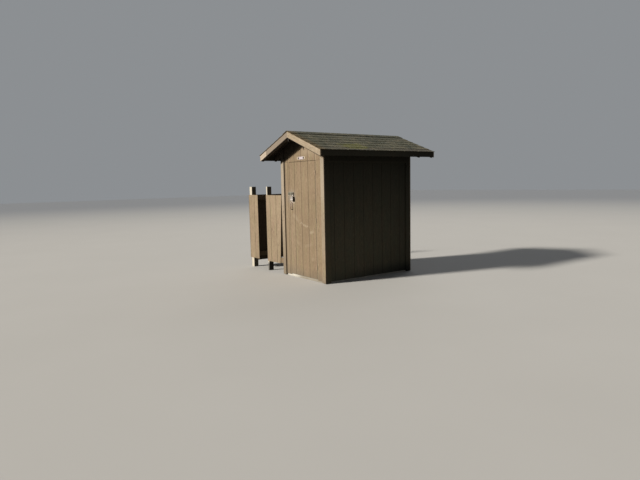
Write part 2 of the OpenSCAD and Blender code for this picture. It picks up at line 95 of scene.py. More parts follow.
def added(name):
    piece = bpy.context.object
    piece.name = piece.data.name = name
    settle()
    return piece


def start_block(name, low, high):
    only()
    low, high = Vector(low), Vector(high)
    bpy.ops.mesh.primitive_cube_add(size=1, location=(low + high) / 2, scale=high - low)
    return added(name)


def start_disc(name, centre, facing, radius, depth, sides):
    only()
    turn = Vector(facing).to_track_quat("Z", "Y").to_euler()
    bpy.ops.mesh.primitive_cylinder_add(vertices=sides, radius=radius, depth=depth,
                                        location=centre, rotation=turn)
    return added(name)


class Bench:
    """Edit mode on one piece."""

    def __init__(self, piece, kind):
        self.piece, self.kind = piece, kind

    def __enter__(self):
        only(self.piece)
        bpy.ops.object.mode_set(mode="EDIT")
        bpy.ops.mesh.select_mode(type=self.kind)
        return self

    def __exit__(self, *problem):
        bpy.ops.object.mode_set(mode="OBJECT")

    def pick(self, test):
        bpy.ops.mesh.select_all(action="DESELECT")
        mesh = bmesh.from_edit_mesh(self.piece.data)
        group = {"VERT": mesh.verts, "EDGE": mesh.edges, "FACE": mesh.faces}[self.kind]
        for part in group:
            if test(part):
                part.select_set(True)
        mesh.select_flush_mode()
        bmesh.update_edit_mesh(self.piece.data)


def middle(edge):
    return (edge.verts[0].co + edge.verts[1].co) / 2


def run(edge):
    return (edge.verts[1].co - edge.verts[0].co).normalized()

# %% [markdown]
# A piece that repeats is modelled once. `row` repeats it along a line with an
# Array modifier, `copy_to` makes another one at some distance, and `joined`
# makes one mesh of several. `finish` gives a piece its material and names the
# body that it moves with.

# %% Repeat, join and finish
def apply_all(piece):
    only(piece)
    for step in list(piece.modifiers):
        bpy.ops.object.modifier_apply(modifier=step.name)


def row(piece, count, step):
    array = piece.modifiers.new("row", "ARRAY")
    array.count, array.use_relative_offset, array.use_constant_offset = count, False, True
    array.constant_offset_displace = step
    apply_all(piece)
    return piece


def copy_to(piece, offset):
    only(piece)
    bpy.ops.object.duplicate()
    bpy.ops.transform.translate(value=offset)
    twin = bpy.context.object
    settle()
    return twin


def joined(name, pieces):
    only(*pieces)
    if len(pieces) > 1:
        bpy.ops.object.join()
    whole = bpy.context.object
    whole.name = whole.data.name = name
    return whole


def mirrored(piece, name):
    """A copy on the other side of the ridge, turned right side out."""
    twin = copy_to(piece, (0, 0, 0))
    bpy.ops.transform.resize(value=(-1, 1, 1), center_override=(0, 0, 0))
    settle()
    with Bench(twin, "FACE") as bench:
        bench.pick(lambda face: True)
        bpy.ops.mesh.normals_make_consistent()
    twin.name = twin.data.name = name
    return twin


def finish(piece, material, body):
    piece.data.materials.append(material)
    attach(piece, body)

# %% [markdown]
# ## The paint box
#
# A material is a tree of nodes. `Flow` wraps one socket, so that a mask can be
# written as a sum: `1 - mask * 0.4` adds its Math nodes. `Paint` makes
# every other node with a single method: first the settings, then the values or
# links of the sockets. All patterns read Object coordinates, in metres, so
# they stay on the boards when the door swings. A tint is called by its name,
# and `coat` brushes one over the colour so far, as far as its share says.

# %% Sockets that can be added and multiplied
tints = {}


class Flow:
    def __init__(self, paint, socket):
        self.paint, self.socket = paint, socket

    def math(self, operation, *others, clamp=False):
        return self.paint.add("ShaderNodeMath", {"operation": operation, "use_clamp": clamp},
                              dict(enumerate([self, *others])))

    def __add__(self, other): return self.math("ADD", other)
    def __sub__(self, other): return self.math("SUBTRACT", other)
    def __mul__(self, other): return self.math("MULTIPLY", other)
    def __neg__(self): return self.math("MULTIPLY", -1)
    __radd__ = __add__
    def __rsub__(self, other): return (-self).math("ADD", other)
    def __abs__(self): return self.math("ABSOLUTE")

    def floor(self): return self.math("FLOOR")
    def fraction(self): return self.math("FRACT")
    def limit(self): return self.math("ADD", 0, clamp=True)

    def rise(self, low, high):
        """0 below low and 1 above high, smooth between them; it falls if low is the higher."""
        return self.paint.add("ShaderNodeMapRange", {"interpolation_type": "SMOOTHSTEP"},
                              {"Value": self, "From Min": low, "From Max": high})


class Paint:
    """One material, with the place on the piece as x, y and z and the colour so far."""

    def __init__(self, name):
        self.material = bpy.data.materials.new(name)
        self.material.use_nodes = True
        self.tree = self.material.node_tree
        self.tree.nodes.clear()
        output = self.tree.nodes.new("ShaderNodeOutputMaterial")
        self.shader = self.tree.nodes.new("ShaderNodeBsdfPrincipled")
        self.tree.links.new(self.shader.outputs[0], output.inputs["Surface"])
        here = self.add("ShaderNodeTexCoord", out="Object")
        self.x, self.y, self.z = [self.add("ShaderNodeSeparateXYZ", None, {0: here}, out=i)
                                  for i in range(3)]

    def plug(self, socket, value):
        value = tints[value] if isinstance(value, str) else value
        if isinstance(value, Flow):
            self.tree.links.new(value.socket, socket)
        elif hasattr(value, "__len__"):
            socket.default_value = [*value, 1]
        else:
            socket.default_value = value

    def add(self, kind, settings=None, sockets=None, out=0):
        node = self.tree.nodes.new(kind)
        for key, value in (settings or {}).items():
            setattr(node, key, value)
        for key, value in (sockets or {}).items():
            self.plug(node.inputs[key], value)
        return Flow(self, node.outputs[out])

    def vector(self, x, y, z):
        return self.add("ShaderNodeCombineXYZ", None, {0: x, 1: y, 2: z})

    def spot(self, *scales, shift=0):
        """The place as a vector, each axis times its scale, or all times the only one."""
        by_x, by_y, by_z = scales * 3 if len(scales) == 1 else scales
        up = self.z * by_z
        return self.vector(self.x * by_x, self.y * by_y, up + shift if shift else up)

    def noise(self, spot, detail, rough):
        sockets = {"Vector": spot, "Scale": 1, "Detail": detail, "Roughness": rough}
        return self.add("ShaderNodeTexNoise", None, sockets)

    def cells(self, spot, out="Distance"):
        return self.add("ShaderNodeTexVoronoi", None, {"Vector": spot, "Scale": 1}, out=out)

    def cell_value(self, spot, channel=0):
        """A number between 0 and 1 that differs from cell to cell."""
        colours = self.cells(spot, out="Color")
        return self.add("ShaderNodeSeparateColor", None, {0: colours}, out=channel)

    def length(self, x, y, z):
        return self.add("ShaderNodeVectorMath", {"operation": "LENGTH"},
                        {0: self.vector(x, y, z)}, out="Value")

    def blend(self, share, below, above):
        sockets = {0: share, 6: below, 7: above}
        return self.add("ShaderNodeMix", {"data_type": "RGBA"}, sockets, out=2)

    def coat(self, share, tint):
        self.colour = self.blend(share, self.colour, tint)

    def bump(self, height, depth, strength):
        sockets = {"Height": height, "Distance": depth, "Strength": strength}
        return self.add("ShaderNodeBump", None, sockets)

    def end(self, **sockets):
        self.plug(self.shader.inputs["Base Color"], self.colour)
        for key, value in sockets.items():
            self.plug(self.shader.inputs[key], value)
        return self.material

# %% [markdown]
# ## Wood
#
# Grain runs along a board, so each finish first turns the place on the piece
# into three numbers: along the grain, across it and into it. A slow noise,
# drawn out along the grain, stands for the yearly rings. Its contour lines are
# the pointed arches that a flat-sawn board or a peeled veneer shows.

# %% Grain in four directions
def lay_grain(paint, direction):
    x, y, z = paint.x, paint.y, paint.z
    if direction == "sloping":
        side = abs(x)
        along = side * math.cos(pitch) - z * math.sin(pitch)
        first, second = side * math.sin(pitch) + z * math.cos(pitch), y
    else:
        along, first, second = {"upright": (z, x, y), "lengthwise": (y, x, z),
                                "crosswise": (x, y, z)}[direction]
    paint.along, paint.across, paint.depth = along, first + second * 0.83, first - second


def by_grain(paint, fine, slow, shift=0):
    """The place as a vector, times `fine` across the grain and `slow` along it."""
    along = paint.along * slow
    return paint.vector(paint.across * fine, paint.depth * fine, along + shift if shift else along)


def figure(paint, lines):
    """Ring lines, 0 in the pale early wood and 1 in the dark late wood."""
    ring = (paint.noise(by_grain(paint, 2.4, 0.528), 2, 0.45) * lines).fraction()
    return ring.rise(0.25, 0.9) * ring.rise(1, 0.93)


def fibres(paint):
    return paint.noise(by_grain(paint, 420, 9), 4, 0.6)


def knots(paint, scale):
    """Near 1 inside a knot. Few cells have one."""
    spot = paint.vector(paint.across * scale, paint.depth * scale * 0.4, paint.along * scale * 0.45)
    return paint.cells(spot).rise(0.085, 0.03) * paint.cell_value(spot).rise(0.5, 0.52)

# %% [markdown]
# The old brown stain has worn in the weather. It has faded in streaks where
# rain runs, and splashed soil has dulled its foot. The grooves and gaps are
# painted darker by depth from the outer face, painted shade with dust in them,
# and the boards are painted darker towards the eaves, painted shade where the
# stain has also faded less. The inner side of the wall sheets never got stain,
# so there the bare veneer shows, which the paint finds by depth from the outer
# face. `stained` lays these coats on every board and then the layers that one
# finish has of its own.

# %% Worn brown stain
tints |= {
    "dark": (0.066, 0.043, 0.024), "mid": (0.154, 0.106, 0.06),
    "faded": (0.282, 0.206, 0.128), "screen": (0.348, 0.266, 0.177),
    "sunned": (0.325, 0.25, 0.172), "bleached": (0.46, 0.37, 0.262),
    "streak": (0.35, 0.275, 0.185), "speck": (0.37, 0.29, 0.195),
    "olive": (0.225, 0.195, 0.1), "rosy": (0.29, 0.178, 0.13),
    "soil": (0.115, 0.095, 0.072), "groove": (0.03, 0.022, 0.015),
    "veneer": (0.47, 0.345, 0.205), "veneer_late": (0.27, 0.17, 0.085),
    "veneer_dull": (0.3, 0.235, 0.16),
}


def stained(name, *layers, grain="upright", fade=0, pale="faded", shade=0.3,
            face=None, bare=False):
    paint = Paint("stain_on_" + name)
    lay_grain(paint, grain)
    rings, fuzz, knot = figure(paint, 26), fibres(paint), knots(paint, 4)
    run_off = paint.noise(by_grain(paint, 26, 1.1), 3, 0.5)
    mottle = paint.noise(by_grain(paint, 13, 3, shift=7), 3, 0.55)
    # The layers read these three clouds too.
    paint.cloud = cloud = paint.noise(paint.spot(2.1, 2.1, 1.1), 4, 0.6)
    paint.blotch = blotch = paint.noise(by_grain(paint, 9, 5), 5, 0.62)
    paint.freckle = freckle = paint.noise(by_grain(paint, 42, 21), 3, 0.6)
    worn = (cloud * 0.8 + run_off * 0.7 + blotch * 0.5 + fuzz * 0.3 - 0.66 + fade).limit()
    paint.colour = paint.blend(worn, "mid", pale)
    paint.coat(rings * 0.12 + fuzz.rise(0.5, 0.72) * 0.34, "dark")
    paint.coat(run_off.rise(0.55, 0.68) * 0.2, "dark")
    paint.coat(run_off.rise(0.45, 0.32) * 0.2, "streak")
    paint.coat(mottle.rise(0.5, 0.7) * 0.34, "olive")
    paint.coat(mottle.rise(0.48, 0.28) * 0.26, "rosy")
    paint.coat(freckle.rise(0.55, 0.73) * 0.5, "dark")
    paint.coat(freckle.rise(0.45, 0.28) * 0.38, "speck")
    paint.coat(knot * 0.6, "dark")
    # Painted shade: the boards darker towards the eaves, by the shade argument.
    paint.coat(paint.z.rise(1.78, 2.08) * shade, "dark")
    paint.coat((paint.z + cloud * 0.22).rise(0.36, 0.1) * 0.5, "soil")
    for layer in layers:
        layer(paint)
    if face:
        axis, outer = face
        deep = ({"x": paint.x, "y": paint.y}[axis] - outer) * (-1 if outer > 0 else 1)
        # Painted shade with some dust: darker in the grooves and gaps, by depth from the outer
        # face.
        paint.coat(deep.rise(0.0004, 0.0022) * 0.62, "groove")
        if bare:
            veneer = paint.blend(rings * 0.5 + fuzz * 0.25, "veneer", "veneer_late")
            veneer = paint.blend(cloud.rise(0.45, 0.75) * 0.35, veneer, "veneer_dull")
            paint.coat(deep.rise(siding - 0.0007, siding - 0.0003), veneer)
    height = fuzz * 0.6 + rings * 0.4 - knot * 0.3
    return paint.end(Roughness=0.78 + fuzz * 0.14, Normal=paint.bump(height, 0.0009, 0.7))

# %% [markdown]
# The wall that never gets sun has a thin film of algae, whose blue-green
# tint also stands in for skylight in the shade. That wall and its trim are
# painted near black under the eave as painted shade, and darker at the back
# corner and the foot, damp with painted shade; its front end has a painted
# sunlit edge. The corner of the door wall high under the left overhang is
# painted near black as the overhang's painted shadow. Rain and sun have
# silvered the upper halves of the corner boards, and the left ones are painted
# darker low down as painted shade. The left rake board is painted darker than
# the right, as painted shade.

# %% Algae, silver and painted shade
tints |= {
    "algae": (0.062, 0.096, 0.068), "sunlit_edge": (0.22, 0.145, 0.065),
    "damp_and_shade": (0.007, 0.008, 0.006), "eave": (0.006, 0.006, 0.004),
    "shadow_black": (0.008, 0.006, 0.005), "rake_patch": (0.26, 0.215, 0.145),
    "rake_pale": (0.54, 0.45, 0.355), "rake_shade": (0.155, 0.125, 0.105),
    "silver": (0.385, 0.343, 0.285), "shaded": (0.13, 0.108, 0.085),
}


def algae_and_shade(share):
    def layer(paint):
        y, z = paint.y, paint.z
        # The algae tint also stands in for skylight in the shade.
        paint.coat(paint.blotch.rise(0.2, 0.8) * 0.3 + share, "algae")
        # Painted light: a warm sunlit strip along the front end of the wall, lower down.
        paint.coat(y.rise(-0.83, -0.836) * z.rise(1.9, 1.2) * 0.14, "sunlit_edge")
        # Painted shade: near black towards the eave, and darker at the back corner and the foot,
        # where damp adds to it.
        back_corner_damp_and_shade = y.rise(0.2, 0.95) * (z.rise(1.7, 0.7) * 0.2 + 0.12)
        foot_damp_and_shade = z.rise(0.22, 0.05) * y.rise(-0.9, 0.7) * 0.55
        painted_roof_shade = z.rise(0.5, 2.05) * (0.42 + share)
        paint.coat((painted_roof_shade + (back_corner_damp_and_shade + foot_damp_and_shade)).limit(), "damp_and_shade")
    return layer


def painted_eave_shade(paint):
    # Painted shade: the frieze near black high under the eave.
    paint.coat(abs(paint.x).rise(0.75, 0.7) * paint.z.rise(1.935, 1.95) * 0.45, "eave")


def mottled_rake(paint):
    paint.coat(paint.blotch.rise(0.54, 0.7) * 0.35, "rake_patch")
    paint.coat(paint.blotch.rise(0.46, 0.3) * 0.4, "rake_pale")
    # Painted shade: the left rake boards darker than the right.
    paint.coat(paint.x.rise(0.004, -0.004) * 0.58, "rake_shade")


def below_roof(paint):
    return deck_crown - abs(paint.x) * math.tan(pitch) - paint.z


def silvered(paint):
    x, z = paint.x, paint.z
    upper = z.rise(0.3, 0.55) * 0.12 + z.rise(1.1, 1.5) * 0.24
    paint.coat(abs(x).rise(0.5, 0.54) * below_roof(paint).rise(0.17, 0.25) * upper, "silver")
    lower = z.rise(0.85, 0.7) * 0.14 + z.rise(0.42, 0.3) * z.rise(0.1, 0.2) * 0.26
    # Painted shade: the left corner boards darker low down.
    paint.coat(x.rise(0, -0.3) * lower, "shaded")


def painted_gable_shadow(paint):
    # Painted shadow of the left overhang on the gable: near black above a sloping line.
    high = (below_roof(paint) + paint.x * 0.06).rise(0.245, 0.175)
    paint.coat(high * paint.x.rise(0.08, -0.04) * 0.84, "shadow_black")

# %% [markdown]
# Pale short strokes lie on the door wall, each a short line with soft ends;
# the one at the top of the handle is painted light where the lock's shadow
# falls. A hand's breadth round the lock is grey with handling, and the strip
# beside the left corner board is painted darker, soiling with painted shade.
# The stain has worn off the hinge side's edges, which are also painted paler
# as painted light beside the shaded gap. Rust has run down from the handle.

# %% Marks on the door wall
tints |= {
    "gable_faded": (0.36, 0.285, 0.205), "left_faded": (0.38, 0.31, 0.215),
    "dirt_and_shade": (0.04, 0.03, 0.02), "worn_edge": (0.42, 0.335, 0.235),
    "handled": (0.275, 0.247, 0.212), "pale_strokes": (0.43, 0.36, 0.27),
    "rust_streak": (0.12, 0.06, 0.03),
}
pale_strokes = [  # from, to, half width, strength
    ((-0.3, 1.07), (-0.12, 0.96), 0.048, 0.22), ((-0.08, 0.94), (0.13, 0.88), 0.022, 0.42),
    ((0.2, 0.796), (0.3, 0.822), 0.036, 0.42), ((0.235, 0.36), (0.29, 0.366), 0.04, 0.28),
    ((0.06, 0.56), (0.25, 0.61), 0.04, 0.14), ((-0.2, 0.64), (-0.1, 0.56), 0.045, 0.12),
    # The first stroke below is painted light at the handle's top, where the lock's shadow falls.
    ((-0.305, 1.27), (-0.262, 1.264), 0.028, 0.85), ((-0.285, 1.23), (-0.28, 1.19), 0.03, 0.3),
]


def stroke(x, z, start, end, width):
    """Near 1 on a pale stroke between two points of the door wall."""
    reach_x, reach_z = end[0] - start[0], end[1] - start[1]
    length = math.hypot(reach_x, reach_z)
    reach_x, reach_z = reach_x / length, reach_z / length
    on = (x - start[0]) * reach_x + (z - start[1]) * reach_z
    off = abs((x - start[0]) * reach_z - (z - start[1]) * reach_x)
    mark = off.rise(width, width * 0.2) * on.rise(-width, width)
    return mark * on.rise(length + width, length - width)


def wall_marks(paint):
    x, z, cloud, blotch, freckle = paint.x, paint.z, paint.cloud, paint.blotch, paint.freckle
    wave_x = x + (blotch - 0.5) * 0.1
    wave_z = z + (cloud - 0.5) * 0.06 + (blotch - 0.5) * 0.08
    right_part = wave_x.rise(-0.1, 0.06) * wave_x.rise(0.4, 0.32) * z.rise(1.7, 1.4)
    paint.coat(right_part * 0.2, "mid")
    paint.coat(z.rise(2, 2.12) * x.rise(-0.1, 0.05) * 0.3, "gable_faded")
    paint.coat(wave_x.rise(-0.1, -0.3) * z.rise(1.5, 1.1) * 0.1, "left_faded")
    # Painted shade with soiling: the siding beside the left corner board darker, more so higher up.
    paint.coat(x.rise(-0.505, -0.545) * (z.rise(0.9, 1.6) * 0.4 + 0.5), "dirt_and_shade")
    # Worn stain on the hinge side's edges, also painted paler as painted light beside the shaded
    # gap.
    edge_wear_and_light = freckle.rise(0.35, 0.6) * 0.24 + 0.12
    paint.coat(abs(x - hinge_x).rise(0.024, 0.006) * edge_wear_and_light, "worn_edge")
    from_lock = paint.length((wave_x - lock_x) * 6, 0, (wave_z - lock_z) * 6.6)
    paint.coat(from_lock.rise(1.1, 0.3) * 0.5, "handled")
    for start, end, width, strength in pale_strokes:
        mark = stroke(wave_x, wave_z, start, end, width) * freckle.rise(0.34, 0.58)
        paint.coat(mark * strength, "pale_strokes")


def handle_rust(paint):
    drip = abs(paint.x - pull_x + (paint.cloud - 0.5) * 0.03).rise(0.016, 0.003)
    paint.coat(drip * paint.z.rise(1.04, 1.13) * paint.z.rise(1.15, 1.135) * 0.7, "rust_streak")

# %% Stained finishes
door_wall = ("y", -wall_y)
finishes = {
    "front": stained("front_siding", painted_gable_shadow, wall_marks, shade=0, face=door_wall, bare=True),
    "door": stained("door_siding", wall_marks, handle_rust, shade=0, face=door_wall, bare=True),
    "back": stained("back_siding", fade=-0.3, face=("y", wall_y), bare=True),
    "left": stained("left_siding", fade=-0.1, face=("x", -wall_x), bare=True),
    "right": stained("right_siding", algae_and_shade(0.28), fade=-0.26, face=("x", wall_x), bare=True),
    "screen_front": stained("screen_front", fade=0.05, pale="screen", face=("y", screen_face_y)),
    "screen_side": stained("screen_side", fade=-0.12, face=("x", side_screen_x)),
    "screen_rail": stained("screen_rails", grain="crosswise", fade=-0.3),
    "upright_trim": stained("upright_trim", silvered, painted_gable_shadow, fade=0.1, pale="sunned"),
    "side_trim": stained("side_trim", algae_and_shade(0.28), fade=-0.24),
    "long_trim": stained("long_trim", algae_and_shade(0.2), painted_eave_shade, grain="lengthwise", fade=-0.3),
    "rake_trim": stained("rake_trim", mottled_rake, grain="sloping", fade=0.42, pale="bleached"),
}

# %% [markdown]
# The frame is bare softwood that has yellowed under cover. Outside the walls
# the rafters and the underside of the roof were brushed with stain, painted
# near black as painted shade, and the front end of the overhang is painted
# black as painted shade too. The screen's posts have bleached in the sun; their
# sides that face away from the light are painted dark, algae with painted
# shade, and the inner post's foot is painted dark as a painted shadow.

# %% Bare frame wood and sheathing
tints |= {
    "pine": (0.5, 0.36, 0.2), "pine_late": (0.3, 0.175, 0.08),
    "new_pine": (0.44, 0.31, 0.175), "ply": (0.43, 0.31, 0.18),
    "post": (0.6, 0.55, 0.45), "post_late": (0.4, 0.345, 0.265),
    "new_board": (0.44, 0.365, 0.295), "new_board_late": (0.33, 0.26, 0.19),
    "knot": (0.12, 0.055, 0.025), "grey": (0.25, 0.22, 0.18),
    "outdoor_stain_and_shade": (0.023, 0.016, 0.012), "outdoor_late_stain_and_shade": (0.011, 0.008, 0.006),
    "post_algae_and_shade": (0.06, 0.05, 0.034), "painted_foot_shadow": (0.03, 0.027, 0.025),
}
shaded_post_sides = (-1.7515, -1.1575)


def bare_wood(name, direction, pale="pine", late="pine_late", lines=40, grey=0.15,
              outdoors=False, damp=False):
    paint = Paint(name)
    x, y, z = paint.x, paint.y, paint.z
    lay_grain(paint, direction)
    rings, fuzz, knot = figure(paint, lines), fibres(paint), knots(paint, 5)
    cloud = paint.noise(paint.spot(3), 3, 0.6)
    paint.colour = paint.blend(rings * 0.62 + fuzz * 0.22, pale, late)
    paint.coat(knot * 0.85, "knot")
    paint.coat(cloud.rise(0.35, 0.8) * grey * 2 + grey * 0.3, "grey")
    if outdoors:
        past_side = abs(x).rise(half_width + 0.0025, half_width + 0.0085)
        past_end = abs(y).rise(half_length + 0.0025, half_length + 0.0085)
        # Painted shade: the stain outside the walls made near black.
        brushed = paint.blend(rings * 0.3 + fuzz * 0.4, "outdoor_stain_and_shade", "outdoor_late_stain_and_shade")
        paint.coat((past_side + past_end).limit() * 0.95, brushed)
        # Painted shade: the front end of the overhang near black.
        paint.coat(y.rise(-1.166, -1.17) * 0.85, "shadow_black")
    if damp:
        # Painted shade with algae: the posts' sides that face away from the light made dark.
        turned = [abs(x - side).rise(0.003, 0.001) for side in shaded_post_sides]
        paint.coat((turned[0] + turned[1]).limit() * (0.62 + cloud * 0.4), "post_algae_and_shade")
        # Painted shadow: the inner post dark at its foot.
        painted_foot_shadow = (z + cloud * 0.06 + fuzz * 0.02).rise(0.21, 0.15) * x.rise(-1.4, -1.3)
        paint.coat(painted_foot_shadow * 0.9, "painted_foot_shadow")
    height = rings * 0.4 + fuzz * 0.5 - knot * 0.2
    return paint.end(Roughness=0.66 + fuzz * 0.2, Normal=paint.bump(height, 0.0006, 0.6))


finishes |= {
    "studs": bare_wood("frame_wood_upright", "upright"),
    "plates_long": bare_wood("frame_wood_lengthwise", "lengthwise", outdoors=True),
    "plates_cross": bare_wood("frame_wood_crosswise", "crosswise"),
    "rafters": bare_wood("frame_wood_sloping", "sloping", outdoors=True),
    "door_boards": bare_wood("door_backing_wood", "upright", "new_pine"),
    "door_rails": bare_wood("door_rail_wood", "crosswise", "new_pine"),
    "sheathing": bare_wood("roof_sheathing", "sloping", "ply", lines=22, grey=0.2, outdoors=True),
    "posts": bare_wood("weathered_post_wood", "upright", "post", "post_late", grey=0.12, damp=True),
    "new_board": bare_wood("newer_rake_board", "sloping", "new_board", "new_board_late", grey=0.08),
}

# %% [markdown]
# The slab is trowelled concrete: pale, faintly mottled, with small air holes
# and a rain-darkened rim. Soil has washed over its front edge near the hinges.

# %% Concrete
tints |= {
    "slab_dull": (0.4, 0.375, 0.325), "slab_pale": (0.6, 0.57, 0.505),
    "sand": (0.3, 0.275, 0.235), "hole": (0.17, 0.155, 0.13),
    "rim": (0.21, 0.18, 0.14), "mud": (0.155, 0.125, 0.085),
}


def concrete():
    paint = Paint("slab_concrete")
    mottle = paint.noise(paint.spot(5), 5, 0.6)
    sand = paint.noise(paint.spot(420), 2, 0.6)
    holes = paint.cells(paint.spot(55)).rise(0.16, 0.1)
    paint.colour = paint.blend(mottle.rise(0.3, 0.75), "slab_dull", "slab_pale")
    paint.coat(sand.rise(0.5, 0.75) * 0.3, "sand")
    paint.coat(holes * 0.6, "hole")
    paint.coat((paint.z + mottle * 0.02).rise(0.022, 0.004) * 0.5, "rim")
    soil = (paint.x + (mottle - 0.5) * 0.5).rise(-0.3, -0.06) * paint.y.rise(-0.9, -0.92)
    paint.coat(soil * 0.85, "mud")
    return paint.end(Roughness=0.9, Normal=paint.bump(sand * 0.4 - holes, 0.001, 0.7))


finishes["slab"] = concrete()

# %% [markdown]
# ## Steel
#
# The hardware is zinc-plated steel that has gone dull and rusts in patches. One
# paint serves hinges, bolt, padlock and screws, and a mask says where painted
# shade lies on the bolt and the padlock. The hinges are painted pale, as
# painted light against their own shade. The pull handle was brushed over with
# the walls' stain. Its upper end is bare metal and painted light, its foot is
# painted paler as painted light against its shadow, and rust runs down from the
# grip.

# %% Zinc, rust and lock metal
tints |= {
    "rust": (0.17, 0.062, 0.024), "rust_dark": (0.07, 0.03, 0.016),
    "lock_shade_tint": (0.022, 0.017, 0.013), "bolt_shade_tint": (0.075, 0.06, 0.045),
    "brushed": (0.27, 0.205, 0.14), "brushed_dark": (0.17, 0.118, 0.072),
    "handle_foot_painted_light": (0.44, 0.34, 0.25), "handle_bare_and_lit": (0.68, 0.56, 0.5),
    "handle_rosy": (0.45, 0.315, 0.285), "handle_rust": (0.1, 0.055, 0.03),
}


def old_steel(name, zinc, rusted, shine=0.42, bare=1, layers=False, shade_mask=None, dirt_and_shade="lock_shade_tint"):
    paint = Paint(name)
    spots = paint.noise(paint.spot(90), 5, 0.65)
    smear = paint.noise(paint.spot(24, 24, 7), 3, 0.55)
    rust = (spots * 0.75 + smear * 0.55 + rusted - 0.5).rise(0.42, 0.62)
    bloom = paint.cell_value(paint.spot(160), 1)
    paint.colour = paint.blend(bloom * 0.5, zinc, [c * 0.6 for c in zinc])
    paint.coat(rust, paint.blend(spots.rise(0.35, 0.7), "rust", "rust_dark"))
    if shade_mask:
        # Painted shade where the mask says.
        shade_share = shade_mask(paint.x, paint.y, paint.z)
        paint.coat(shade_share * 0.92, dirt_and_shade)
        rust = (rust + shade_share).limit()
    height = rust * 0.6 + spots * 0.4
    if layers:
        height = height + (paint.z * 310).fraction().rise(0, 0.16) * 1.6
    return paint.end(Metallic=(1 - rust) * bare, Roughness=shine + rust * 0.45 + spots * 0.1,
                     Normal=paint.bump(height, 0.0004, 0.6))


def lock_shade(x, y, z):
    """Painted shade with some oxide: black sides and foot of the body, a darker upper front, and a
    bright band between.
    """
    dull_front = z.rise(1.336, 1.35) * (x.rise(-0.262, -0.296) * 0.16 + 0.46)
    black_foot = z.rise(1.327, 1.321) * 0.62
    below_shackle = z.rise(1.3848, 1.3833)
    return (y.rise(-0.9612, -0.9575) + (dull_front + black_foot)).limit() * below_shackle


def bolt_shade(x, y, z):
    # Painted shade with grease: the plate's right part darker above its lowest strip.
    return x.rise(-0.352, -0.322) * z.rise(1.402, 1.413) * 0.9


def handle_steel():
    paint = Paint("stained_over_handle_steel")
    x, z = paint.x, paint.z
    spots = paint.noise(paint.spot(90), 5, 0.65)
    smear = paint.noise(paint.spot(30, 30, 9), 3, 0.55)
    paint.colour = paint.blend(spots.rise(0.35, 0.7), "brushed", "brushed_dark")
    # Painted light: the handle's foot paler against the shadow under it.
    paint.coat(z.rise(1.18, 1.165) * 0.8, "handle_foot_painted_light")
    # Bare metal at the top, made paler still as a painted highlight.
    worn = (z + (smear - 0.5) * 0.02).rise(1.262, 1.274)
    paint.coat(worn * 0.9, "handle_bare_and_lit")
    rosy = x.rise(-0.326, -0.312) * z.rise(1.2, 1.216) * z.rise(1.27, 1.258)
    paint.coat(rosy * 0.75, "handle_rosy")
    drip = abs(x - (pull_x + 0.005) + (smear - 0.5) * 0.02).rise(0.013, 0.004)
    rust = drip * z.rise(1.262, 1.246) * paint.y.rise(-0.934, -0.929)
    paint.coat(rust * 0.5, "handle_rust")
    return paint.end(Metallic=worn * 0.3, Roughness=0.55 + rust * 0.3 - worn * 0.1,
                     Normal=paint.bump(spots + rust * 0.5, 0.0004, 0.6))


finishes |= {
    # Painted light: the hinges' stain made pale against their own shade and shadow.
    "hinge": old_steel("stained_over_hinge_steel_painted_light", (0.47, 0.38, 0.275), 0.02, 0.65, bare=0.08),
    "zinc": old_steel("dull_zinc_steel", (0.42, 0.42, 0.4), 0.12, bare=0.6),
    "bolt": old_steel("bolt_steel", (0.26, 0.25, 0.195), 0.16, 0.5, bare=0.2,
                      shade_mask=bolt_shade, dirt_and_shade="bolt_shade_tint"),
    "grip": handle_steel(),
    "lock": old_steel("padlock_steel", (0.66, 0.605, 0.57), 0.06, 0.36, bare=0.25,
                      layers=True, shade_mask=lock_shade),
    "washer": old_steel("dark_washer_steel", (0.05, 0.035, 0.045), 0.1, 0.5, bare=0.3),
    "nail": old_steel("nail_head_steel", (0.26, 0.24, 0.21), 0.46, 0.55),
}
print(len(finishes), "finishes in all")

# %% [markdown]
# ## Finishes on the construction pieces
#
# A construction piece keeps its shape and only changes its material, in the
# slots of its own object.

# %% Dress the construction pieces
dress = {
    "slab": "floor_slab",
    "studs": "side_wall_studs end_wall_studs",
    "plates_long": "side_sill_plates side_top_plates ridge_board eave_blocking",
    "plates_cross": "end_sill_plates end_top_plates door_header",
    "screen_rail": "screen_rails",
    "rafters": "common_rafters fly_rafters",
    "sheathing": "roof_deck",
    "front": "front_siding_left front_siding_right front_gable_siding",
    "door": "door_panel", "back": "back_siding", "left": "left_siding", "right": "right_siding",
    "screen_front": "screen_wing_panel screen_inner_panel", "screen_side": "screen_side_panel",
    "upright_trim": "gable_corner_boards door_jambs door_stops", "side_trim": "side_corner_boards",
    "long_trim": "frieze_boards fascia_boards",
    "rake_trim": "left_rake_boards right_rake_boards",
    "new_board": "front_left_rake_tail",
    "posts": "screen_posts",
    "door_boards": "door_stiles door_braces", "door_rails": "door_rails",
    "hinge": "hinge_frame_leaves hinge_door_leaves", "bolt": "bolt_plate bolt_bar bolt_keeper",
    "grip": "pull_handle", "lock": "padlock",
}
for finish_name, members in dress.items():
    for member in members.split():
        for slot in nodes[member].material_slots:
            slot.material = finishes[finish_name]

# %% [markdown]
# ## Shingles
#
# A strip shingle is a sheet of felt, asphalt and mineral grains with three
# tabs, nailed so that the next course covers its upper part. Every other course
# is shifted by half a tab, so that no slot lies over the one below. One tab is
# modelled flat and repeated into a course, which is cut off at the rakes. Each
# course lies on a plain under-layer that shows in the slots.

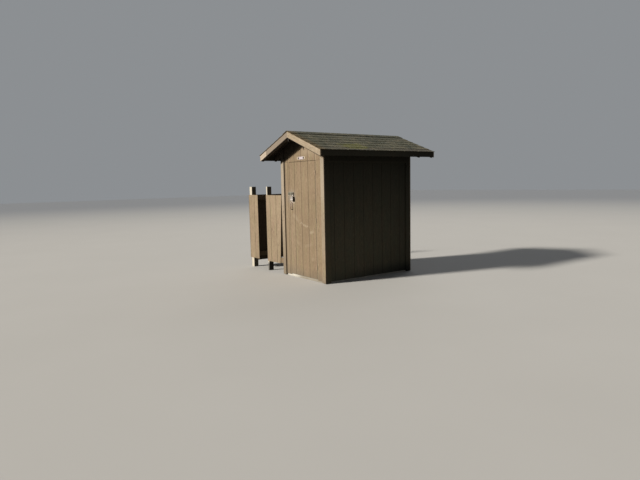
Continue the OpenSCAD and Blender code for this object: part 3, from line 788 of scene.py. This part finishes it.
# %% Mineral grains and moss
tab_width, tab_slot, course_step, course_count = 0.3048, 0.009, 0.14, 7
tab_lead = 0.07  # the first tab starts this far before the rake
cap_half, cap_count = 0.13, 19
cap_step = 2 * rake_y / cap_count
tints |= {
    "grain_dark": (0.046, 0.045, 0.027), "grain_pale": (0.134, 0.128, 0.081),
    "dark_tab": (0.05, 0.05, 0.032), "roof_streak": (0.185, 0.155, 0.11),
    "broad_pale": (0.165, 0.152, 0.105), "broad_dark": (0.036, 0.041, 0.025),
    "patch_pale": (0.2, 0.168, 0.108), "patch_dark": (0.03, 0.036, 0.02),
    "lowest": (0.06, 0.048, 0.034), "near_ridge": (0.058, 0.062, 0.048),
    "green": (0.088, 0.092, 0.034), "drip": (0.34, 0.31, 0.22),
    "moss_lit": (0.175, 0.16, 0.03), "moss_deep": (0.105, 0.112, 0.03),
    "brown": (0.104, 0.072, 0.027),
}


def mineral(name, cap=False):
    paint = Paint(name)
    x, y = paint.x, paint.y
    side, down, from_rake = x.math("SIGN"), abs(x) * (1 / math.cos(pitch)), y - roof_back + rake_y
    climbed = (eave_s - down) * (1 / course_step)
    if cap:
        course, column = side, (from_rake * (1 / cap_step)).floor()
    else:
        course = climbed.floor()
        column = ((from_rake + tab_lead) * (1 / tab_width) + course * 0.5).floor()
    tab_place = {"Vector": paint.vector(course, column, side)}
    tab = paint.add("ShaderNodeTexWhiteNoise", None, tab_place)
    grain = paint.cell_value(paint.spot(620))
    cloud = paint.noise(paint.spot(2.6), 4, 0.6)
    run_off = paint.noise(paint.spot(2, 30, 2), 3, 0.55)
    broad = paint.noise(paint.spot(3.6, 2.8, 3.6, shift=9), 3, 0.6)
    patchy = paint.noise(paint.spot(9, 7, 9, shift=3), 5, 0.68)
    paint.colour = paint.blend(grain, "grain_dark", "grain_pale")
    paint.coat(tab * 0.5, "dark_tab")
    paint.coat(run_off.rise(0.5, 0.78) * 0.45, "roof_streak")
    paint.coat(broad.rise(0.5, 0.64) * 0.4, "broad_pale")
    paint.coat(broad.rise(0.49, 0.37) * 0.5, "broad_dark")
    paint.coat(patchy.rise(0.49, 0.68) * 0.62, "patch_pale")
    paint.coat(patchy.rise(0.5, 0.32) * 0.66, "patch_dark")
    lowest = down.rise(eave_s - course_step - 0.01, eave_s - course_step + 0.01)
    paint.coat(lowest * (y.rise(-0.1, 0.6) * 0.3 + 0.36), "lowest")
    paint.coat(down.rise(0.4, 0.05) * 0.3, "near_ridge")
    low_edge = climbed.fraction().rise(0.16, 0)
    green = (cloud * 1.2 + low_edge * 0.16 + grain * 0.14 - 0.42).rise(0.22, 0.62)
    paint.coat(green * 0.45, "green")
    worn_edge = paint.noise(paint.spot(1, 24, 1), 2, 0.5).rise(0.56, 0.66)
    drip_edge = down.rise(eave_s - 0.02, eave_s - 0.01) * worn_edge
    paint.coat(drip_edge * (0 if cap else 0.6), "drip")
    patch = paint.noise(paint.spot(7, 3.2, 7), 5, 0.62)
    tuft = paint.noise(paint.spot(40), 3, 0.6)
    clump_y, clump_down = y + (patchy - 0.5) * 0.42, down + (broad - 0.5) * 0.3
    clump = abs(clump_y + 0.4).rise(0.36, 0.14) * clump_down.rise(0.54, 0.68)
    clump = clump * clump_down.rise(0.95, 0.86) * x.rise(0, 0.02)
    moss = (patch * 0.6 + tuft * 0.32 + clump * 0.3 + low_edge * 0.05).rise(0.62, 0.74)
    paint.coat(moss * 0.74, paint.blend(tuft, "moss_lit", "moss_deep"))
    paint.coat((from_rake + (patchy - 0.5) * 0.02).rise(0.165, 0.045) * 0.95, "brown")
    height = grain * 0.7 + moss * 0.8 + cloud * 0.3
    return paint.end(Roughness=0.92, Normal=paint.bump(height, 0.0011, 0.8))


finishes["shingles"] = mineral("mineral_shingles")
finishes["cap"] = mineral("mineral_cap_shingles", cap=True)

# %% [markdown]
# The tab is a thin cube, cut twice one way and three times the other, so that
# its points can be moved a little at random. Its upper end is pressed down to
# the deck, so the next course can lie on it, and its lower corners are
# bevelled as wind and feet wear them.

# %% Model one tab and lay the right-hand slope
tab_foot, tab_top = 0.004, 0.008  # of the flat tab, over the deck
edge_short = 0.0013  # the tabs end this far before the eave
pressed = 0.0048  # the upper end goes down by this
under_foot, under_top = 0.0004, 0.0041  # of the under-layer
crown_gap = 0.003  # the top course ends this far from the ridge


def cut_off(bench, place, facing):
    """Cuts away what lies past a plane and closes the cut."""
    bench.pick(lambda part: True)
    bpy.ops.mesh.bisect(plane_co=place, plane_no=facing, use_fill=True, clear_outer=True)


tab = start_block("tab", (eave_s - course_step, 0, tab_foot),
                  (eave_s - edge_short, tab_width - tab_slot, tab_top))
with Bench(tab, "VERT") as bench:
    bench.pick(lambda v: v.co.x < eave_s - 0.1)
    bpy.ops.transform.translate(value=(0, 0, -pressed))
with Bench(tab, "EDGE") as bench:
    bench.pick(lambda e: abs(run(e).z) > 0.9 and middle(e).x > eave_s - 0.01)
    bpy.ops.mesh.bevel(offset=0.007, segments=2)
    bench.pick(lambda e: abs(run(e).x) > 0.9)
    bpy.ops.mesh.subdivide(number_cuts=2)
    bench.pick(lambda e: abs(run(e).y) > 0.9)
    bpy.ops.mesh.subdivide(number_cuts=3)

courses = []
for course in range(course_count):
    shift = -0.5 * tab_width * (course % 2)
    strip = copy_to(tab, (-course * course_step, -rake_y - tab_lead + shift, 0))
    row(strip, 10, (0, tab_width, 0))
    with Bench(strip, "VERT") as bench:
        bench.pick(lambda v: v.co.z > 0.0035)
        bpy.ops.transform.vertex_random(offset=0.0011, uniform=0, normal=0, seed=course)
        for side in (-1, 1):
            cut_off(bench, (0, side * rake_y, 0), (0, side, 0))
        if course == course_count - 1:
            cut_off(bench, (crown_gap, 0, 0), (-1, 0, 0))
    courses.append(strip)
    low = max(eave_s - (course + 1) * course_step, crown_gap)
    under = start_block("under_layer", (low, -rake_y, under_foot),
                        (eave_s - course * course_step, rake_y, under_top))
    with Bench(under, "VERT") as bench:
        bench.pick(lambda v: v.co.x < low + 0.001 and v.co.z > 0.002)
        bpy.ops.transform.translate(value=(0, 0, -0.003))
    courses.append(under)
only(tab)
bpy.ops.object.delete()

right_shingles = joined("right_shingle_courses", courses)
slope = Matrix.Translation((0, roof_back, deck_crown)) @ Matrix.Rotation(pitch, 4, "Y")
right_shingles.matrix_world = slope
settle()
left_shingles = mirrored(right_shingles, "left_shingle_courses")
for piece, node in ((right_shingles, "shingles_right"), (left_shingles, "shingles_left")):
    finish(piece, finishes["shingles"], "house")
    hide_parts(node)
    print(piece.name, len(piece.data.polygons), "faces")

# %% [markdown]
# The ridge is closed with single shingles, each folded over it and lapping the
# one before. A plane is folded at its middle line, given a thickness, tilted a
# little so that its front end rides over its neighbour, and repeated.

# %% Model one folded cap shingle and close the ridge
cap_length, cap_thick = 0.155, 0.0026
courses_thick, cap_gap = 0.0129, 0.0003  # what the cap lies on, and the air between
only()
bpy.ops.mesh.primitive_plane_add(size=1, location=(0, -rake_y + cap_length / 2, 0))
bpy.ops.transform.resize(value=(2 * cap_half * math.cos(pitch), cap_length, 1))
cap = added("cap_shingle")
with Bench(cap, "EDGE") as bench:
    bench.pick(lambda e: abs(run(e).x) > 0.9)
    bpy.ops.mesh.subdivide()
    bench.pick(lambda e: abs(run(e).y) > 0.9 and abs(middle(e).x) < 0.001)
    bpy.ops.transform.translate(value=(0, 0, cap_half * math.sin(pitch)))
    bpy.ops.mesh.bevel(offset=0.012, segments=3)
    bench.pick(lambda e: abs(run(e).x) > 0.5)
    bpy.ops.mesh.subdivide()
with Bench(cap, "VERT") as bench:
    bench.pick(lambda v: v.co.y > -rake_y + 0.1)
    bpy.ops.transform.translate(value=(0, 0, -cap_thick))
thick = cap.modifiers.new("thickness", "SOLIDIFY")
thick.thickness, thick.offset = cap_thick, -1
apply_all(cap)
row(cap, cap_count, (0, cap_step, 0))
cap_lift = deck_crown - cap_half * math.sin(pitch) + courses_thick / math.cos(pitch) + cap_gap
with Bench(cap, "VERT") as bench:
    cut_off(bench, (0, rake_y, 0), (0, 1, 0))
    bench.pick(lambda v: True)
    bpy.ops.transform.translate(value=(0, roof_back, cap_lift))
cap_row = joined("ridge_cap_shingles", [cap])
finish(cap_row, finishes["cap"], "house")
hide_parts("ridge_cap")
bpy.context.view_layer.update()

# %% [markdown]
# ## Nails and screws
#
# The sheets are nailed to the studs every 15 cm, and the corner boards have
# pairs of nails. A head is a short cylinder with its front face drawn in. Each
# line of nails is one head and an Array modifier.

# %% Nail lines on the siding
nail_radius, nail_proud = 0.0034, 0.0012
front, back = (0, -1, 0), (0, 1, 0)
nail_step = (0, 0, 0.152)  # up a stud
sill_nail = 0.075  # height of the lowest nail
front_studs, back_studs = (-0.53, 0.53, -0.434, 0.434), (-0.5305, 0, 0.5305)
side_studs = ((-0.8475, 12), (-0.2985, 14), (0.2625, 14), (0.3155, 14), (0.8475, 12))
stiles, door_rails = (-0.345, 0.345), (0.0905, 1.003, 1.9155)


def nail_line(first, step, count, facing):
    way = Vector(facing)
    head = start_disc("nail", Vector(first) + way * nail_proud * 0.3, facing, nail_radius,
                      nail_proud * 1.4, 8)
    with Bench(head, "FACE") as bench:
        bench.pick(lambda f: f.normal.dot(way) > 0.9)
        bpy.ops.transform.resize(value=(0.72, 0.72, 0.72))
    return row(head, count, step)


def fixed(name, heads, body="house", metal="nail"):
    """One piece of many lines of nails, or of many screws."""
    finish(joined(name, heads), finishes[metal], body)


fixed("front_siding_nails",
      [nail_line((x, -wall_y, sill_nail), nail_step, 13, front) for x in front_studs]
      + [nail_line((-0.48, -wall_y, 1.985), (0.16, 0, 0), 7, front)])
fixed("side_siding_nails",
      [nail_line((side * wall_x, y, sill_nail), nail_step, count, (side, 0, 0))
       for side in (-1, 1) for y, count in side_studs])
fixed("back_siding_nails",
      [nail_line((x, wall_y, sill_nail), nail_step, 14, back) for x in back_studs]
      + [nail_line((-0.45, wall_y, 2.115), (0.15, 0, 0), 7, back)])
fixed("door_siding_nails",
      [nail_line((x, -wall_y, 0.095), nail_step, 13, front) for x in stiles]
      + [nail_line((-0.26, -wall_y, z), (0.13, 0, 0), 5, front) for z in door_rails], "door")

# %% Nails in the screen and the trim boards
screen_lines = []
for z in (0.236, 1.3435):  # the screen's two rails
    screen_lines += [nail_line((-1.1765, screen_face_y, z), (0.16, 0, 0), 4, front),
                     nail_line((-1.825, screen_face_y, z), (0.05, 0, 0), 2, front),
                     nail_line((side_screen_x, -0.9, z), (0, 0.145, 0), 9, (-1, 0, 0))]
fixed("screen_nails", screen_lines)
board_step = (0, 0, 0.42)
trim_lines = []
for side in (-1, 1):
    out = (side, 0, 0)
    for x in (0.568, 0.62):  # two nails across a corner board
        for way in (-1, 1):
            place = (side * x, way * corner_y, 0.12)
            trim_lines.append(nail_line(place, board_step, 5, (0, way, 0)))
    for y in (-0.905, -0.86, 0.86, 0.905):
        trim_lines.append(nail_line((side * corner_x, y, 0.16), board_step, 5, out))
    frieze, fascia = (side * corner_x, -0.7465, 2.02), (side * 0.9075, roof_back - 1.15, 2.054)
    trim_lines.append(nail_line(frieze, (0, 0.298, 0), 6, out))
    trim_lines.append(nail_line(fascia, (0, 0.328, 0), 8, out))
fixed("trim_nails", trim_lines)

# %% [markdown]
# Rake boards slope, so each nail is one step along and down from the last.

# %% Nails in the rake boards
from_ridge, apart, rake_face = 0.06, 0.158, 1.2185
board_middle = 0.0445  # below the deck, at right angles to the slope
first_z = deck_crown - board_middle / math.cos(pitch) - from_ridge * math.tan(pitch) - 0.004
rake_nails = []
for side in (-1, 1):
    for way in (-1, 1):
        first = (side * from_ridge, roof_back + way * rake_face, first_z)
        step = (side * apart, 0, -apart * math.tan(pitch))
        rake_nails.append(nail_line(first, step, 6, (0, way, 0)))
fixed("rake_nails", rake_nails)

# %% [markdown]
# Screws hold the hardware. The head is a low dome: a cylinder whose front is
# inset twice and pushed out, with a small recess in the middle.

# %% Screws on bolt, keeper and handle
def screw(place, radius=0.0042, proud=0.0022):
    head = start_disc("screw", Vector(place) + Vector(front) * proud * 0.4, front, radius,
                      proud * 0.8, 14)
    with Bench(head, "FACE") as bench:
        bench.pick(lambda f: f.normal.y < -0.9)
        for inward, outward in ((0.3, 0.4), (0.32, 0.15), (0.12, -0.5)):
            bpy.ops.mesh.inset(thickness=radius * inward, depth=proud * outward)
    bpy.ops.object.shade_smooth_by_angle(angle=math.radians(50))
    return head


plate_face = -wall_y - 0.0025
across = 0.019  # from the middle of the bolt to its screws
bolt_screws = [screw((x, plate_face, bolt_z + across)) for x in (-0.357, -0.304)]
bolt_screws += [screw((x, plate_face, bolt_z - across)) for x in (-0.374, -0.34)]
bolt_screws += [screw((pull_x, plate_face, pull_z + up)) for up in (-0.072, 0.072)]
keeper_screws = [screw((-0.415, plate_face, bolt_z + up)) for up in (-across, across)]
fixed("bolt_and_handle_screws", bolt_screws, "door", "zinc")
fixed("keeper_screws", keeper_screws, "house", "zinc")

# %% [markdown]
# ## The plate over the door
#
# A small pale plate is screwed over the door. Its marks can't be read, so it
# is left bare. It is a thin cube whose four corner edges are rounded, with a
# raised rim from an inset, and two dark washer-head screws.

# %% Plate and its screws
plate_low, plate_high = (-0.139, -wall_y - 0.003, 1.9965), (0.105, -wall_y, 2.0415)
plate_mid = [(low + high) / 2 for low, high in zip(plate_low, plate_high)]
plate_screw = 0.073  # from the plate's middle to a screw
tints |= {
    "plate_ends": (0.4, 0.335, 0.255), "plate_middle": (0.475, 0.42, 0.445),
    "plate_grime": (0.36, 0.3, 0.25), "screw_rust": (0.2, 0.11, 0.06),
}
plate = start_block("door_plate", plate_low, plate_high)
with Bench(plate, "EDGE") as bench:
    bench.pick(lambda e: abs(run(e).y) > 0.9)
    bpy.ops.mesh.bevel(offset=0.01, segments=5)
with Bench(plate, "FACE") as bench:
    bench.pick(lambda f: f.normal.y < -0.9)
    bpy.ops.mesh.inset(thickness=0.003)
    bpy.ops.mesh.inset(thickness=0.001, depth=-0.0012)


def plate_paint():
    paint = Paint("plate_enamel")
    cloud = paint.noise(paint.spot(18), 4, 0.6)
    run_off = paint.noise(paint.spot(70, 70, 6), 3, 0.6)
    aside = abs(paint.x - plate_mid[0])
    paint.colour = paint.blend(aside.rise(0.08, 0.066), "plate_ends", "plate_middle")
    paint.coat(cloud.rise(0.4, 0.8) * 0.35 + run_off.rise(0.5, 0.8) * 0.3, "plate_grime")
    from_screw = paint.length((aside - plate_screw) * 30, 0, (paint.z - plate_mid[2]) * 30)
    paint.coat(from_screw.rise(0.75, 0.3) * 0.4, "screw_rust")
    return paint.end(Roughness=0.42 + cloud * 0.2, Normal=paint.bump(cloud, 0.0003, 0.5))


finish(plate, plate_paint(), "house")
plate_screws = [screw((plate_mid[0] + aside, -wall_y - 0.0018, plate_mid[2]), 0.0145, 0.005)
                for aside in (-plate_screw, plate_screw)]
fixed("plate_screws", plate_screws, "house", "washer")
print("the plate spans", [round(v, 4) for v in plate.dimensions])

# %% [markdown]
# ## Floor, light and camera
#
# The scene is a studio: a pale floor, a strong light from the front left, where
# the sun stands in the photograph, and a faint even light from all round that
# keeps the shaded side wall readable. A second, much weaker and wider light
# from behind does the same for the back. Floor and backdrop look paler than
# the light that they give, because the real building stands on dark leaves:
# the Light Path node tells a camera ray from the others.
# The camera stands where the photographer stood, 9 m away at eye height,
# turned by 1.2 degrees as the photograph is.

# %% Floor and light
tints |= {
    "floor_dark": (0.44, 0.43, 0.415), "floor_pale": (0.47, 0.46, 0.445),
    "floor_far": (0.2035, 0.2153, 0.237), "leaves": (0.11, 0.104, 0.092),
}
only()
bpy.ops.mesh.primitive_plane_add(size=120, location=(0, 0, -0.0006))
floor = added("studio_floor")
floor_paint = Paint("studio_floor_paint")
soft = floor_paint.noise(floor_paint.spot(0.6, 0.6, 1), 3, 0.5)
away = floor_paint.length(floor_paint.x, floor_paint.y, 0)
floor_paint.colour = floor_paint.blend(soft, "floor_dark", "floor_pale")
floor_paint.coat(away.rise(7, 40), "floor_far")
shown = floor_paint.add("ShaderNodeLightPath", out="Is Camera Ray")
floor_paint.colour = floor_paint.blend(shown, "leaves", floor_paint.colour)
floor.data.materials.append(floor_paint.end(Roughness=0.9))


def far_light(name, place, way, energy, width, colour):
    only()
    bpy.ops.object.light_add(type="SUN", location=place)
    light = bpy.context.object
    light.name, light.data.color = name, colour
    light.data.energy, light.data.angle = energy, math.radians(width)
    light.rotation_euler = Vector(way).to_track_quat("-Z", "Y").to_euler()


far_light("key_light", (-3, -12, 8), (0.229, 0.856, -0.464), 5.7, 6, (1, 0.95, 0.86))
far_light("back_light", (-6, 8, 8), (0.55, -0.7, -0.45), 0.6, 60, (0.94, 0.97, 1))
backdrop, given_light = (0.262, 0.275, 0.288), 0.36
world = bpy.data.worlds.new("studio")
world.use_nodes = True
tree = world.node_tree
background = tree.nodes["Background"]
background.inputs["Color"].default_value = (*backdrop, 1)
seen, strength = tree.nodes.new("ShaderNodeLightPath"), tree.nodes.new("ShaderNodeMapRange")
strength.inputs["To Min"].default_value = given_light
tree.links.new(seen.outputs["Is Camera Ray"], strength.inputs["Value"])
tree.links.new(strength.outputs[0], background.inputs["Strength"])
bpy.context.scene.world = world
bpy.context.scene.view_settings.view_transform = "Standard"

# %% Camera
yaw, tilt, roll = math.radians(54.69), math.radians(-6.34), math.radians(-1.21)
sensor, focal_pixels, picture_pixels = 36, 517.2, 640
look = Vector((-math.sin(yaw) * math.cos(tilt), math.cos(yaw) * math.cos(tilt), math.sin(tilt)))
level = Vector((math.cos(yaw), math.sin(yaw), 0))
upward = level.cross(look)
right_hand = level * math.cos(roll) + upward * math.sin(roll)
head_up = upward * math.cos(roll) - level * math.sin(roll)
only()
bpy.ops.object.camera_add(location=(7.19, -5.679, 1.61))
camera = bpy.context.object
camera.name = "photo_camera"
camera.rotation_euler = Matrix((right_hand, head_up, -look)).transposed().to_euler()
camera.data.sensor_width = sensor
camera.data.lens = sensor * focal_pixels / picture_pixels
camera.data.clip_end = 300
bpy.context.scene.camera = camera
print("camera looks along", [round(v, 3) for v in look])

# %% Deselect everything
only()
